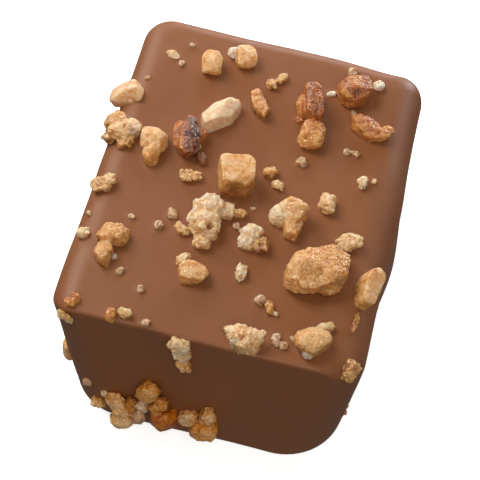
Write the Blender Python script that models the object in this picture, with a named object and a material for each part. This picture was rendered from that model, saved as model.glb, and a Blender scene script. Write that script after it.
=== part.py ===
"""A chocolate praline: a coated block with chopped almonds and sugar crumbs stuck to it.

The block stands on its flat underside. +X is its right side, -Y its front and +Z its top.
Every topping is fused to the coating, so the whole is one solid.
"""
import math
import random

import bmesh
import bpy
from mathutils import Matrix, Vector, noise
from mathutils.bvhtree import BVHTree

MM = 0.001

# The coated block, in millimetres.
BLOCK_WIDTH = 26.2
BLOCK_DEPTH = 33.7
BLOCK_HEIGHT = 17.3
BASE_EDGE = 1.1
# One value each for the right, back, left and front side.
RIM_RADIUS = (3.0, 2.0, 2.3, 0.35)
BASE_INSET = (0.5, 0.1, 1.5, 0.7)
# One value each for the back right, back left, front left and front right corner.
TOP_CORNER = (2.1, 2.7, 2.6, 3.4)
BASE_CORNER = (5.0, 5.0, 4.6, 5.6)
# How early round each corner the rim takes on the next side's radius. 1 is midway, less is earlier.
RIM_CHANGE = (1.0, 1.0, 1.0, 0.5)
COATING_WAVE = 0.16
COATING_WAVELENGTH = 8.0
# Middle (x, y, z), reach and height: the right wall bulges, and the back right corner is drawn in.
SWELLS = [
    ((13.0, 1.0, 8.0), 5.0, 1.0),
    ((10.0, 16.2, 17.0), 3.2, -0.45),
]
# The middle of the top stops one small ring short of a point.
TOP_RING_REACH = 0.96

# How finely the block is divided.
CORNER_STEPS = 6
SIDE_STEPS = 7
EDGE_STEPS = 4
WALL_STEPS = 5
RIM_STEPS = 5
TOP_STEPS = 4

# How each kind of topping is broken: blockiness (2 is a ball), unevenness, number of flat cuts and
# how far from the middle a cut runs, as a share of the lump.
KINDS = {
    "almond": (3.4, 0.10, 4, 0.46),
    "roasted": (3.0, 0.14, 3, 0.46),
    "caramel": (2.8, 0.18, 4, 0.43),
    "cluster": (2.5, 0.24, 2, 0.44),
    "crystal": (3.0, 0.12, 4, 0.42),
}
# Pieces whose cut faces show plainly are carved instead, on the first of their lumps: blockiness,
# unevenness, and each cut as its direction round, its direction up, and its distance from the middle.
CARVED = {
    "rim_almond": (4.5, 0.04, [(110, 10, 0.90), (-75, 25, 0.85), (175, 0, 1.50), (30, 0, 1.42)]),
    "long_sliver": (5.0, 0.05, [(104, 0, 1.15), (62, 0, 1.35), (-36, 0, 1.95), (-66, 15, 1.05),
                                (-98, 10, 0.80), (-156, 0, 1.90), (155, 0, 1.65), (100, 55, 0.95),
                                (-60, 60, 0.85)]),
    "square_chunk": (8.0, 0.03, [(91, 0, 1.50), (28, 0, 1.50), (-5, 0, 1.25), (-52, 0, 1.50),
                                 (-97, 0, 1.50), (-176, 0, 1.68), (0, 90, 1.38), (-70, 50, 1.75)]),
    "right_rim_sliver": (6.0, 0.04, [(83, 0, 0.95), (47, 0, 1.40), (-21, 0, 1.90), (-72, 0, 1.05),
                                     (-92, 0, 0.72), (-167, 0, 1.90), (135, 0, 1.50), (105, 0, 0.90)]),
    "long_skin": (5.0, 0.05, [(15, 0, 1.80), (-38, 0, 1.60), (-91, 0, 0.70), (-149, 0, 1.80),
                              (132, 0, 1.55), (88, 0, 0.80)]),
    "golden_sliver": (4.5, 0.06, [(17, 0, 1.38), (-80, 0, 0.60), (-137, 0, 1.05), (121, 0, 0.98),
                                  (77, 0, 0.72), (-90, 45, 0.60)]),
}
# A lump longer than this gets the finer ball.
FINE_LUMP = 1.9
BALL_RADIUS = 0.5

# Toppings on the top and its rims. A lump is its place across and along, how far its middle stands
# off the coating, its length, width and height, and its turn in degrees.
TOP_TOPPINGS = {
    "almond": {
        "rim_almond": [(-12.4, 6.5, 0.4, 3.3, 2.0, 1.5, 0)],
        "tapered_almond": [(-8.9, 1.4, 0.7, 2.5, 2.3, 2.0, 0), (-8.7, 0.2, 0.5, 2.5, 1.5, 1.7, 80)],
        "long_sliver": [(-4.1, 5.7, 0.6, 4.8, 2.8, 1.8, 50)],
        "blond_nugget": [(-6.1, 11.3, 0.6, 2.4, 2.0, 1.7, 95)],
        "pale_nugget": [(-3.4, 12.9, 0.6, 2.4, 2.0, 1.6, 110)],
        "flat_flake": [(-9.8, 11.7, 0.1, 1.4, 0.9, 0.5, 160)],
        "square_chunk": [(-0.9, -0.8, 1.2, 3.6, 3.2, 2.9, 15), (-0.5, -1.6, 0.7, 2.3, 1.2, 1.9, 35)],
        "right_rim_sliver": [(11.6, -8.0, 0.6, 4.1, 2.2, 1.9, 80)],
    },
    "roasted": {
        "dark_skin": [(-6.1, 2.4, 0.9, 4.1, 1.8, 2.1, 102), (-5.6, 2.2, 0.9, 3.5, 1.3, 1.9, 100),
                      (-6.8, 2.5, 0.6, 3.2, 1.3, 1.7, 102), (-5.2, 2.9, 0.6, 1.8, 1.1, 1.3, 75)],
        "long_skin": [(3.6, 9.3, 0.9, 3.9, 1.7, 2.0, 107), (2.6, 9.0, 0.5, 2.5, 1.0, 1.4, 105),
                      (2.8, 7.7, 0.1, 1.1, 0.8, 0.7, 15)],
        "tailed_nut": [(8.4, 8.4, 0.5, 2.8, 1.8, 1.6, 164), (9.7, 7.9, 0.4, 2.3, 1.5, 1.3, 10),
                       (10.4, 8.4, 0.4, 1.6, 1.1, 1.0, 55)],
        "gold_pebble": [(4.1, 6.0, 0.6, 2.8, 2.3, 1.9, 85)],
        "pitted_nugget": [(6.9, 11.9, 0.8, 3.2, 2.9, 2.4, 30)],
        "amber_cup": [(-11.1, -15.9, 0.2, 1.4, 1.1, 0.9, 60)],
        "amber_cone": [(-7.8, -16.5, 0.2, 1.3, 0.9, 0.9, 95)],
    },
    "caramel": {
        "golden_sliver": [(-1.0, 8.1, 0.4, 3.3, 1.6, 1.3, 122)],
        "dark_bit": [(-4.4, 0.8, 0.3, 1.3, 1.0, 0.9, 130)],
        "gold_bit": [(1.5, 1.2, 0.3, 1.4, 1.1, 1.0, 40)],
        "orange_pair": [(-9.6, -9.1, 0.6, 2.7, 2.0, 1.7, 10), (-9.9, -11.1, 0.5, 2.3, 1.6, 1.5, 95)],
        "knobbed_crumb": [(-2.4, -10.9, 0.5, 2.7, 2.0, 1.6, 5),
                          (-3.5, -9.7, 0.4, 1.6, 0.8, 0.9, 55)],
        "thin_gold": [(4.4, -12.2, 0.2, 1.4, 0.8, 0.7, 110)],
        "horned_crumb": [(8.5, -14.7, 0.7, 2.9, 2.4, 2.0, 20), (9.1, -13.0, 0.4, 1.8, 0.9, 0.9, 35)],
        "kidney": [(6.6, -8.7, 0.9, 3.9, 3.7, 2.7, 30), (8.4, -7.7, 1.0, 4.4, 3.2, 2.6, 85),
                   (7.3, -7.8, 0.9, 4.2, 3.4, 2.6, 40)],
        "rough_crumb": [(4.2, -2.8, 0.9, 2.6, 2.5, 2.3, 60), (3.3, -3.3, 0.7, 2.0, 1.8, 1.8, 0),
                        (4.6, -4.2, 0.6, 2.0, 1.6, 1.6, 80)],
        "rim_streak": [(11.4, -11.4, 0.1, 2.3, 0.6, 0.6, 85)],
    },
    "cluster": {
        "rim_cluster": [(-12.3, 2.9, 0.5, 2.4, 2.1, 1.8, 0), (-11.2, 2.0, 0.5, 2.2, 2.1, 1.7, 90),
                        (-12.4, 1.5, 0.4, 1.9, 1.6, 1.3, 0), (-11.3, 0.7, 0.3, 1.5, 1.4, 1.1, 0),
                        (-11.8, 1.7, 0.6, 2.1, 2.0, 1.6, 0)],
        "big_cluster": [(-2.6, -4.4, 0.8, 2.9, 2.3, 2.1, 10), (-2.5, -6.1, 0.8, 3.0, 2.6, 2.1, 80),
                        (-2.4, -7.6, 0.5, 1.7, 1.5, 1.3, 0), (-4.4, -6.8, 0.3, 1.5, 1.0, 0.9, 150),
                        (-1.2, -4.1, 0.6, 1.8, 1.5, 1.4, 0), (0.1, -3.9, 0.3, 1.2, 0.9, 0.8, 0),
                        (-3.6, -5.5, 0.5, 1.5, 1.3, 1.2, 90)],
        "middle_cluster": [(1.4, -5.7, 0.6, 1.9, 1.7, 1.6, 60),
                           (2.4, -6.5, 0.4, 1.8, 1.5, 1.2, 100), (1.2, -6.7, 0.4, 1.7, 1.4, 1.3, 0)],
        "back_pair": [(0.2, 11.7, 0.3, 1.6, 0.9, 0.8, 55), (-0.5, 10.8, 0.3, 1.2, 1.0, 0.8, 110)],
        "right_pair": [(9.4, 2.4, 0.3, 1.3, 0.9, 0.8, 90), (10.3, 2.9, 0.2, 0.8, 0.5, 0.5, 70)],
        "pale_tail": [(2.4, 0.0, 0.3, 1.3, 0.9, 0.7, 150)],
        "left_crumb": [(-5.0, -1.2, 0.3, 2.1, 1.2, 0.9, 10)],
        "right_crumb": [(6.9, -0.8, 0.5, 2.1, 1.5, 1.3, 95)],
        "bumpy_crumb": [(9.5, -4.2, 0.5, 2.2, 1.8, 1.3, 30)],
        "topped_crumb": [(3.1, -15.7, 1.0, 3.1, 1.6, 1.1, 0), (3.3, -16.4, 0.5, 2.3, 1.7, 1.7, 0)],
        "left_rim_crumb": [(-11.8, -4.0, 0.4, 2.3, 1.7, 1.2, 20)],
        "narrow_crumb": [(1.4, -9.6, 0.3, 1.6, 1.0, 0.9, 95)],
        "left_rim_flat": [(-12.0, -9.2, 0.3, 1.3, 1.1, 0.9, 0)],
        "front_crumb": [(-6.8, -16.1, 0.3, 1.3, 1.1, 0.8, 0)],
        "right_rim_crumb": [(11.7, -15.7, 0.3, 2.0, 1.5, 1.2, 80)],
    },
    "crystal": {
        "small_pale": [(3.9, 3.1, 0.2, 1.1, 1.0, 0.8, 0)],
        "white_sliver": [(4.9, 11.5, 0.1, 1.0, 0.5, 0.4, 15)],
        "white_bit": [(8.8, 13.5, 0.3, 1.2, 1.0, 0.9, 50)],
        "quartz": [(-4.5, 13.3, 0.6, 1.3, 1.0, 0.9, 60)],
        "glass_bead": [(-5.4, 1.9, 0.3, 1.4, 1.1, 1.0, 60)],
        "rim_glass": [(-10.8, 1.8, 0.9, 1.4, 1.1, 1.0, 30)],
        "front_bead": [(2.5, -16.5, 0.8, 0.9, 0.8, 0.8, 0)],
        "horn_bead": [(8.3, -15.8, 0.5, 1.0, 0.8, 0.8, 0)],
    },
}
# Small crumbs on the top: place across, place along, and size. Finer crumbs are left out.
TOP_CRUMBS = [
    (6.2, 14.4, 0.9), (7.4, 5.4, 0.7), (8.2, 5.4, 0.8), (-0.1, -5.1, 0.7), (-5.5, -5.4, 0.9),
    (-6.3, -6.9, 0.9), (-8.2, -12.2, 0.8), (-6.1, -13.4, 0.7), (3.5, -11.7, 1.0), (5.6, -15.2, 0.8),
    (6.3, -15.4, 0.8), (-4.9, -16.3, 0.7),
]
# Toppings on the front wall: a lump is its place across and its height above the base, then the same
# values as above. Its length runs across the wall before it is turned.
FRONT_TOPPINGS = {
    "caramel": {
        "tall_gold": [(-4.1, 7.6, 0.5, 2.9, 2.1, 1.5, 80)],
        "amber_side": [(-2.9, 6.0, 0.4, 1.7, 1.4, 1.2, 100)],
        "amber_wedge": [(-3.4, 5.2, 0.6, 1.8, 1.2, 1.2, 90)],
        "foot_gold": [(-5.5, 4.5, 0.5, 2.2, 1.0, 1.3, 90)],
        "foot_peach": [(-6.2, 2.1, 0.8, 2.3, 1.8, 1.6, 30)],
        "right_foot": [(1.2, 3.6, 0.7, 2.5, 2.2, 2.0, 90), (0.3, 3.3, 0.7, 2.2, 1.0, 1.6, 90)],
    },
    "roasted": {
        "foot_skin": [(-2.6, 3.7, 0.7, 2.9, 2.6, 2.2, 90)],
    },
    "cluster": {
        "corner_crumb": [(-11.4, 16.5, 0.3, 1.6, 0.9, 0.8, 160)],
        "stack": [(-1.9, 16.6, 0.4, 2.0, 1.6, 1.3, 0), (-1.5, 15.0, 0.4, 1.9, 1.7, 1.2, 90),
                  (-1.3, 13.3, 0.3, 1.6, 1.2, 1.0, 0)],
        "foot_tan": [(-7.0, 4.6, 0.4, 2.0, 1.8, 1.2, 70), (-6.3, 3.5, 0.6, 2.4, 2.0, 1.6, 110)],
        "foot_pale": [(-8.5, 2.5, 0.2, 1.5, 1.2, 1.0, 0)],
        "middle_foot": [(-0.5, 4.4, 0.4, 2.4, 1.9, 1.5, 90), (1.2, 5.5, 0.4, 2.4, 1.6, 1.4, 90)],
    },
    "crystal": {
        "foot_grey": [(-4.8, 2.9, 0.6, 2.2, 1.3, 1.4, 90)],
        "wall_grey": [(-4.6, 4.7, 0.4, 1.4, 1.2, 1.2, 0)],
        "foot_white": [(-8.0, 4.6, 0.1, 1.0, 0.8, 0.6, 60)],
        "left_white": [(-9.6, 5.2, 0.1, 1.2, 0.9, 0.6, 90)],
    },
}
# Toppings on the left wall: place along it, towards the front, and height above the base.
LEFT_TOPPINGS = {
    "almond": {
        "wall_sliver": [(13.0, 4.6, 0.3, 2.6, 1.2, 1.1, 95)],
    },
}
# The walls that the front view doesn't reach get a like share of pieces, most of them at the foot.
SCATTER_SEED = 11
SCATTER_COUNTS = {"right": 3, "back": 9, "left": 7}
SCATTER_SIZE = (0.9, 2.2)
SCATTER_FOOT_HEIGHT = 5.0
SCATTER_FOOT_SHARE = {"right": 1.0, "back": 0.7, "left": 0.7}
SCATTER_MARGIN = 5.0
SCATTER_KINDS = ("caramel", "cluster", "almond", "crystal")

# Share of the fused triangles that stays when the shortest edges are closed up.
KEPT_SHARE = 0.8
FOOT_CLEARANCE = 0.3


def clear_scene():
    for thing in list(bpy.data.objects):
        bpy.data.objects.remove(thing, do_unlink=True)


def make_material(name, colour, roughness):
    material = bpy.data.materials.new(name)
    material.use_nodes = True
    shader = material.node_tree.nodes["Principled BSDF"]
    shader.inputs["Base Color"].default_value = (*colour, 1.0)
    shader.inputs["Roughness"].default_value = roughness
    shader.inputs["Metallic"].default_value = 0.0
    return material


def make_object(name, mesh_data, collection, material):
    data = bpy.data.meshes.new(name)
    mesh_data.to_mesh(data)
    mesh_data.free()
    data.materials.append(material)
    thing = bpy.data.objects.new(name, data)
    collection.objects.link(thing)
    return thing


def block_levels():
    """Rings of the block from its base up: insets and heights of the sides, and corner radii."""
    levels = []
    for step in range(EDGE_STEPS + 1):
        angle = math.radians(90.0 * step / EDGE_STEPS)
        edge_inset = BASE_EDGE * (1.0 - math.sin(angle))
        height = BASE_EDGE * (1.0 - math.cos(angle))
        insets = [side + edge_inset for side in BASE_INSET]
        levels.append((insets, [height] * 4, [corner - edge_inset for corner in BASE_CORNER]))
    for step in range(1, WALL_STEPS + 1):
        share = step / WALL_STEPS
        insets = [side * (1.0 - share) for side in BASE_INSET]
        heights = [BASE_EDGE + (BLOCK_HEIGHT - rim - BASE_EDGE) * share for rim in RIM_RADIUS]
        corners = [base + (top - base) * share for base, top in zip(BASE_CORNER, TOP_CORNER)]
        levels.append((insets, heights, corners))
    for step in range(1, RIM_STEPS + 1):
        angle = math.radians(90.0 * step / RIM_STEPS)
        insets = [rim * (1.0 - math.cos(angle)) for rim in RIM_RADIUS]
        heights = [BLOCK_HEIGHT - rim * (1.0 - math.sin(angle)) for rim in RIM_RADIUS]
        levels.append((insets, heights, [top * (1.0 - 0.5 * step / RIM_STEPS) for top in TOP_CORNER]))
    half_sizes = (BLOCK_WIDTH / 2, BLOCK_DEPTH / 2, BLOCK_WIDTH / 2, BLOCK_DEPTH / 2)
    for step in range(1, TOP_STEPS + 1):
        share = TOP_RING_REACH * step / TOP_STEPS
        insets = [rim + (half - rim) * share for rim, half in zip(RIM_RADIUS, half_sizes)]
        corners = [top * 0.5 * (1.0 - share) for top in TOP_CORNER]
        levels.append((insets, [BLOCK_HEIGHT] * 4, corners))
    return levels


def ring_point(level, step):
    """Point of one ring. Each corner's arc is followed by the straight side after it."""
    insets, heights, corners = level
    quarter, rest = divmod(step, CORNER_STEPS + SIDE_STEPS)
    right, back = BLOCK_WIDTH / 2 - insets[0], BLOCK_DEPTH / 2 - insets[1]
    left, front = -BLOCK_WIDTH / 2 + insets[2], -BLOCK_DEPTH / 2 + insets[3]
    centres = ((right - corners[0], back - corners[0]), (left + corners[1], back - corners[1]),
               (left + corners[2], front + corners[2]), (right - corners[3], front + corners[3]))
    share = min(rest / CORNER_STEPS, 1.0)
    angle = math.radians(90.0 * (quarter + share))
    x = centres[quarter][0] + corners[quarter] * math.cos(angle)
    y = centres[quarter][1] + corners[quarter] * math.sin(angle)
    early = share ** RIM_CHANGE[quarter]
    blend = early * early * (3.0 - 2.0 * early)
    height = heights[quarter] * (1.0 - blend) + heights[(quarter + 1) % 4] * blend
    if rest > CORNER_STEPS:
        along = (rest - CORNER_STEPS) / SIDE_STEPS
        following = (quarter + 1) % 4
        end_angle = math.radians(90.0 * (quarter + 1))
        x += (centres[following][0] + corners[following] * math.cos(end_angle) - x) * along
        y += (centres[following][1] + corners[following] * math.sin(end_angle) - y) * along
    return Vector((x, y, height))


def coating_wave(point):
    """Slow unevenness of the poured coating. It dies out at the flat underside."""
    middle = Vector((0.0, 0.0, BLOCK_HEIGHT / 2))
    outward = (point - middle).normalized()
    fade = min(point.z / BASE_EDGE, 1.0)
    wave = outward * COATING_WAVE * noise.noise(point / COATING_WAVELENGTH)
    for place, reach, height in SWELLS:
        swell_out = Vector((place[0], place[1], 0.0)).normalized()
        distance = (point - Vector(place)).length
        wave += swell_out * height * math.exp(-(distance / reach) ** 2)
    return wave * fade


def make_block(collection, material):
    """The block is a sheet rolled into rings, closed along its seam and at its two ends."""
    levels = block_levels()
    around = 4 * (CORNER_STEPS + SIDE_STEPS)
    up = len(levels) - 1
    block = bmesh.new()
    bmesh.ops.create_grid(block, x_segments=around, y_segments=up, size=1.0)
    for vertex in block.verts:
        step = round((vertex.co.x + 1.0) / 2.0 * around)
        level = round((vertex.co.y + 1.0) / 2.0 * up)
        point = ring_point(levels[level], step % around)
        vertex.co = (point + coating_wave(point)) * MM
    bmesh.ops.remove_doubles(block, verts=block.verts, dist=0.001 * MM)
    open_edges = [edge for edge in block.edges if edge.is_boundary]
    bmesh.ops.holes_fill(block, edges=open_edges, sides=0)
    bmesh.ops.triangulate(block, faces=block.faces)
    bmesh.ops.recalc_face_normals(block, faces=block.faces)
    return make_object("praline_block", block, collection, material)


def wall_axes(wall):
    """The directions across, along and out of a wall."""
    axes = {
        "top": ((1, 0, 0), (0, 1, 0), (0, 0, 1)),
        "front": ((1, 0, 0), (0, 0, 1), (0, -1, 0)),
        "back": ((-1, 0, 0), (0, 0, 1), (0, 1, 0)),
        "left": ((0, -1, 0), (0, 0, 1), (-1, 0, 0)),
        "right": ((0, 1, 0), (0, 0, 1), (1, 0, 0)),
    }
    return [Vector(axis) for axis in axes[wall]]


def resting_place(coating, wall, across, along):
    """Where a line into the wall meets the coating, in metres, with the third axis off its surface."""
    across_axis, along_axis, out_axis = wall_axes(wall)
    start = (across_axis * across + along_axis * along + out_axis * BLOCK_DEPTH) * MM
    point, normal, _, _ = coating.ray_cast(start, -out_axis)
    upright = Matrix((across_axis, along_axis, out_axis)).transposed()
    lean = out_axis.rotation_difference(normal).to_matrix()
    return Matrix.Translation(point) @ (lean @ upright).to_4x4()


def cut_normal(direction, rise):
    """A direction from two angles in degrees: round from the lump's length, and up."""
    around, up = math.radians(direction), math.radians(rise)
    return Vector((math.cos(around) * math.cos(up), math.sin(around) * math.cos(up), math.sin(up)))


def cut_flat(vertices, normal, distance):
    """Presses what lies beyond a plane onto that plane."""
    for vertex in vertices:
        beyond = vertex.co.dot(normal) - distance
        if beyond > 0.0:
            vertex.co -= normal * beyond


def add_lump(heap, coating, kind, name, wall, lump):
    """A broken piece: a ball made uneven, cut flat on a few sides, stretched and put in place."""
    across, along, out, length, width, height, turn = lump
    blockiness, unevenness, cuts, cut_depth = KINDS[kind]
    planes = []
    if name in CARVED:
        blockiness, unevenness, planes = CARVED[name]
        cuts = 0
    draw = random.Random(f"{across:.1f} {along:.1f}")
    fineness = 2 if length > FINE_LUMP else 1
    made = bmesh.ops.create_icosphere(heap, subdivisions=fineness, radius=BALL_RADIUS)
    vertices = made["verts"]
    patch = Vector([draw.uniform(-9.0, 9.0) for _ in range(3)])
    for vertex in vertices:
        reach = sum(abs(part / BALL_RADIUS) ** blockiness for part in vertex.co) ** (1.0 / blockiness)
        vertex.co *= (1.0 + unevenness * noise.noise(vertex.co * 3.0 + patch)) / reach
    for _ in range(cuts):
        cut_flat(vertices, Vector([draw.gauss(0.0, 1.0) for _ in range(3)]).normalized(), cut_depth)
    bmesh.ops.transform(heap, matrix=Matrix.Diagonal((length, width, height, 1.0)), verts=vertices)
    for direction, rise, distance in planes:
        cut_flat(vertices, cut_normal(direction, rise), distance)
    turned = Matrix.Translation((0.0, 0.0, out)) @ Matrix.Rotation(math.radians(turn), 4, "Z")
    place = resting_place(coating, wall, across, along) @ Matrix.Scale(MM, 4) @ turned
    bmesh.ops.transform(heap, matrix=place, verts=vertices)
    for vertex in vertices:
        vertex.co.z = max(vertex.co.z, FOOT_CLEARANCE * MM)


def crumb_lump(across, along, size, draw):
    """A crumb's own length, width, height and turn, drawn around its size."""
    length = size * draw.uniform(1.0, 1.25)
    width = size * draw.uniform(0.8, 1.0)
    height = size * draw.uniform(0.65, 0.85)
    return (across, along, 0.25 * height, length, width, height, draw.uniform(0.0, 180.0))


def listed_lumps():
    """Every lump that has a place of its own. A piece's name stays with the first of its lumps."""
    found = []
    for wall, toppings in (("top", TOP_TOPPINGS), ("front", FRONT_TOPPINGS), ("left", LEFT_TOPPINGS)):
        for kind, pieces in toppings.items():
            for name, lumps in pieces.items():
                found.append((kind, name, wall, lumps[0]))
                found.extend((kind, "", wall, lump) for lump in lumps[1:])
    return found


def drawn_lumps():
    """The small crumbs on the top, and the pieces scattered over the other walls."""
    draw = random.Random(SCATTER_SEED)
    found = [("crystal", "", "top", crumb_lump(*crumb, draw)) for crumb in TOP_CRUMBS]
    for wall, count in SCATTER_COUNTS.items():
        span = (BLOCK_WIDTH if wall == "back" else BLOCK_DEPTH) - 2 * SCATTER_MARGIN
        for index in range(count):
            across = span * ((index + draw.uniform(0.2, 0.8)) / count - 0.5)
            at_foot = draw.random() < SCATTER_FOOT_SHARE[wall]
            top = SCATTER_FOOT_HEIGHT if at_foot else BLOCK_HEIGHT - 3.0
            size = draw.uniform(*SCATTER_SIZE)
            height = draw.uniform(1.0 + size / 2, top)
            kind = draw.choice(SCATTER_KINDS)
            found.append((kind, "", wall, crumb_lump(across, height, size, draw)))
    return found


def make_toppings(block, collection, material):
    """Each lump is a closed ball of its own, so that the union takes them one by one."""
    bare = bmesh.new()
    bare.from_mesh(block.data)
    coating = BVHTree.FromBMesh(bare)
    bare.free()
    for index, (kind, name, wall, lump) in enumerate(listed_lumps() + drawn_lumps()):
        heap = bmesh.new()
        add_lump(heap, coating, kind, name, wall, lump)
        make_object(f"topping_{index}", heap, collection, material)


def fuse(block, toppings):
    """One union of the block with every topping, applied, and the loose toppings removed."""
    union = block.modifiers.new("fuse_toppings", "BOOLEAN")
    union.operation = "UNION"
    union.operand_type = "COLLECTION"
    union.collection = toppings
    union.solver = "EXACT"
    thinning = block.modifiers.new("close_short_edges", "DECIMATE")
    thinning.ratio = KEPT_SHARE
    depsgraph = bpy.context.evaluated_depsgraph_get()
    fused = bpy.data.meshes.new_from_object(block.evaluated_get(depsgraph))
    block.modifiers.clear()
    block.data = fused
    for piece in list(toppings.objects):
        bpy.data.objects.remove(piece, do_unlink=True)
    bpy.data.collections.remove(toppings)


def keep_outer_skin(block):
    """Keeps the largest skin, so no sealed hollow and no loose scrap is left."""
    mesh = bmesh.new()
    mesh.from_mesh(block.data)
    unseen = set(mesh.verts)
    skins = []
    while unseen:
        skin = {unseen.pop()}
        front = list(skin)
        while front:
            for edge in front.pop().link_edges:
                for vertex in edge.verts:
                    if vertex in unseen:
                        unseen.discard(vertex)
                        skin.add(vertex)
                        front.append(vertex)
        skins.append(skin)
    skins.sort(key=len, reverse=True)
    for skin in skins[1:]:
        bmesh.ops.delete(mesh, geom=list(skin), context="VERTS")
    bmesh.ops.triangulate(mesh, faces=mesh.faces)
    mesh.to_mesh(block.data)
    mesh.free()


def main():
    clear_scene()
    praline = bpy.data.collections.new("praline")
    toppings = bpy.data.collections.new("toppings")
    bpy.context.scene.collection.children.link(praline)
    bpy.context.scene.collection.children.link(toppings)
    chocolate = make_material("milk_chocolate", (0.32, 0.13, 0.065), 0.35)
    block = make_block(praline, chocolate)
    make_toppings(block, toppings, chocolate)
    fuse(block, toppings)
    keep_outer_skin(block)


main()
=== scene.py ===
import math
import random

import bmesh
import bpy
from mathutils import Matrix, Vector, noise
from mathutils.bvhtree import BVHTree
from mathutils.kdtree import KDTree


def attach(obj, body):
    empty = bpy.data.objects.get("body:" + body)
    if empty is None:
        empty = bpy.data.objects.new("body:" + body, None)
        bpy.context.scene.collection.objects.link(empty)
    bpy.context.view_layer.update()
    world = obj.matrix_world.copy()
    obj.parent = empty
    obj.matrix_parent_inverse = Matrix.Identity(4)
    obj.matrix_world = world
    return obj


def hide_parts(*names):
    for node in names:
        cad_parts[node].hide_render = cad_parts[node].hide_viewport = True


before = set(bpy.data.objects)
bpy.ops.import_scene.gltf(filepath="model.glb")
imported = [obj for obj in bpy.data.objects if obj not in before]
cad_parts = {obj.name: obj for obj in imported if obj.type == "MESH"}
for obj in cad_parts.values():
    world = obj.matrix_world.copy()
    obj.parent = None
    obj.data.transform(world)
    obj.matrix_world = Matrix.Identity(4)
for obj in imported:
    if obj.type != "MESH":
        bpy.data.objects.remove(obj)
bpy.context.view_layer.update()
print("frame loaded:", ", ".join(sorted(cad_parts)))

mm = 0.001        # everything is modelled in millimetres and brought to metres when it is done


def linearColour(hexColour):
    values = [int(hexColour[i:i + 2], 16) / 255.0 for i in (1, 3, 5)]
    return [v / 12.92 if v <= 0.04045 else ((v + 0.055) / 1.055) ** 2.4 for v in values] + [1.0]


def perMm(size):
    # a texture scale for Object coordinates: one pattern step for each size in millimetres
    return 1.0 / (size * mm)


def smoothStep(low, high, value):
    share = min(max((value - low) / (high - low), 0.0), 1.0)
    return share * share * (3.0 - 2.0 * share)


def addNode(tree, kind, settings=None, inputs=None, links=None):
    # settings are the node's own fields, inputs its socket values, links where its inputs come from
    node = tree.nodes.new(kind)
    for field, value in (settings or {}).items():
        setattr(node, field, value)
    for socket, value in (inputs or {}).items():
        node.inputs[socket].default_value = value
    for socket, source in (links or {}).items():
        tree.links.new(source, node.inputs[socket])
    return node


def fillRamp(ramp, stops):
    # stops are (position, hex colour), from left to right
    elements = ramp.color_ramp.elements
    while len(elements) < len(stops):
        elements.new(1.0)
    for element, (position, colour) in zip(elements, stops):
        element.position = position
        element.color = linearColour(colour)


def startMaterial(name):
    material = bpy.data.materials.new(name)
    material.use_nodes = True
    tree = material.node_tree
    shader = tree.nodes["Principled BSDF"]
    place = addNode(tree, "ShaderNodeTexCoord").outputs["Object"]
    return material, tree, shader, place


def finishPiece(name, mesh, material):
    mesh.transform(Matrix.Scale(mm, 4))
    data = bpy.data.meshes.new(name)
    mesh.to_mesh(data)
    mesh.free()
    data.materials.append(material)
    data.shade_smooth()
    piece = bpy.data.objects.new(name, data)
    bpy.context.scene.collection.objects.link(piece)
    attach(piece, "root")
    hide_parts("praline_block")
    print(f"{name}: {len(data.polygons)} faces")


# The coated block, in mm. Each tuple of sides goes right, back, left, front, and each tuple of corners goes
# back right, back left, front left, front right.
block = {
    "width": 26.2,
    "depth": 33.7,
    "height": 17.3,
    "baseEdge": 1.1,
    "rimRadius": (3.0, 2.0, 2.3, 0.35),
    "baseInset": (0.5, 0.1, 1.5, 0.7),
    "topCorner": (2.1, 2.7, 2.6, 3.4),
    "baseCorner": (5.0, 5.0, 4.6, 5.6),
    "cornerKept": 0.5,                        # share of a top corner's radius left where the rim ends
    "rimChange": (1.0, 1.0, 1.0, 0.5),        # below 1 the rim softens before it reaches the corner
    "wave": 0.16,                             # slow unevenness of the poured coating
    "waveLength": 8.0,
    "ripple": 0.025,                          # the finer unevenness that bends its reflections
    "rippleLength": 2.6,
    # middle, reach and height: the wall bulges on the right, and the back right corner is drawn in
    "swells": [((13.0, 1.0, 8.0), 5.0, 1.0), ((10.0, 16.2, 17.0), 3.2, -0.45)],
    "topRingReach": 0.985,                    # how far in the rings of the top go before it is closed
    "cornerSteps": 16,
    "sideSteps": 92,
    "edgeSteps": 6,
    "wallSteps": 56,
    "rimSteps": 14,
    "topSteps": 56,
    "seamGap": 0.0005,                        # points closer than this are one
    "meniscus": 0.05,                         # how far the chocolate creeps up a topping
    "meniscusReach": 0.22,                    # how wide that lip is
    "meniscusSearch": 4,                      # lip widths beyond which nothing is lifted
}


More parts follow.
